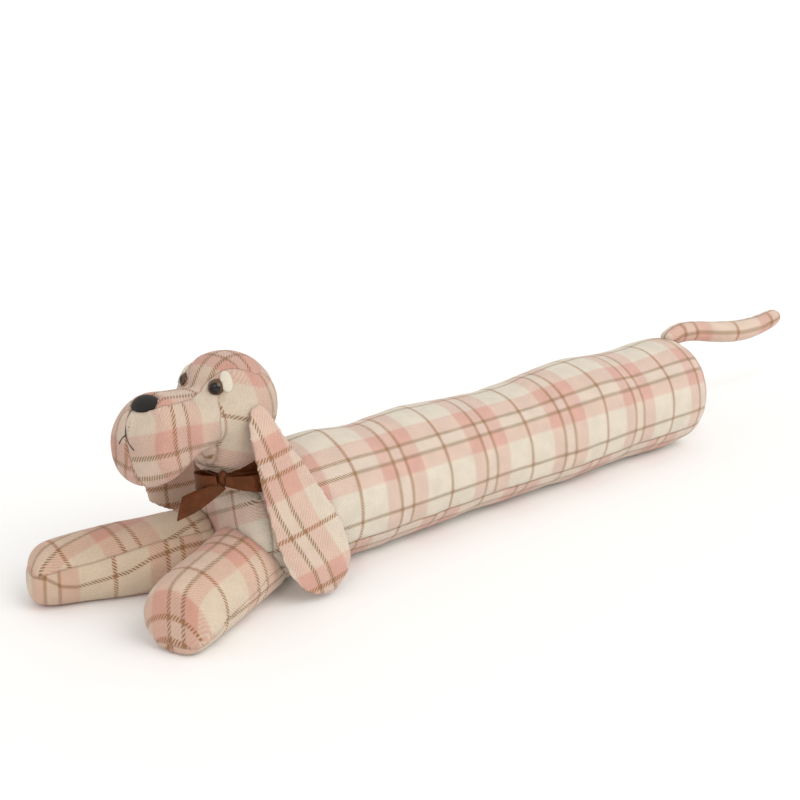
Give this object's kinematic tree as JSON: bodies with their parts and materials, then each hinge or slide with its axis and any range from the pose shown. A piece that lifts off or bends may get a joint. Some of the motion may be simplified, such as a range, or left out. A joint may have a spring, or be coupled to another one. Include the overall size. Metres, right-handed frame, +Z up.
{
  "type": "dog-shaped draught excluder",
  "caption": "Stuffed cloth draught excluder shaped as a lying hound, with a long tube body that seals the gap under a door.",
  "frame": {"origin": "on the body tube's flat underside, near the middle of its length, at floor height", "axes": "+X towards the tail along the body, the head towards -X; -Y towards the hound's left side; +Z up"},
  "size_m": [1.0939, 0.2388, 0.2549],
  "materials": {
    "plaid_cloth": "brushed twill, pink and cream check with thin brown lines",
    "cream_cloth": "brushed twill, plain cream",
    "nose_plush": "short black plush",
    "eye_bead": "polished, brown iris round a black pupil",
    "satin_ribbon": "dark brown satin"
  },
  "bodies": {
    "root": {"body_tube": "plaid_cloth", "leg_left": "plaid_cloth", "leg_right": "plaid_cloth", "tail": "plaid_cloth", "ear_left": "plaid_cloth", "ear_right": "plaid_cloth", "head": "plaid_cloth", "nose": "nose_plush", "eye_left": "eye_bead", "eye_right": "eye_bead", "eyelid_left": "cream_cloth", "eyelid_right": "cream_cloth", "ribbon_band": "satin_ribbon", "ribbon_knot": "satin_ribbon", "ribbon_loop_front": "satin_ribbon", "ribbon_loop_back": "satin_ribbon", "ribbon_end_front": "satin_ribbon", "ribbon_end_back": "satin_ribbon"}
  },
  "joints": []
}
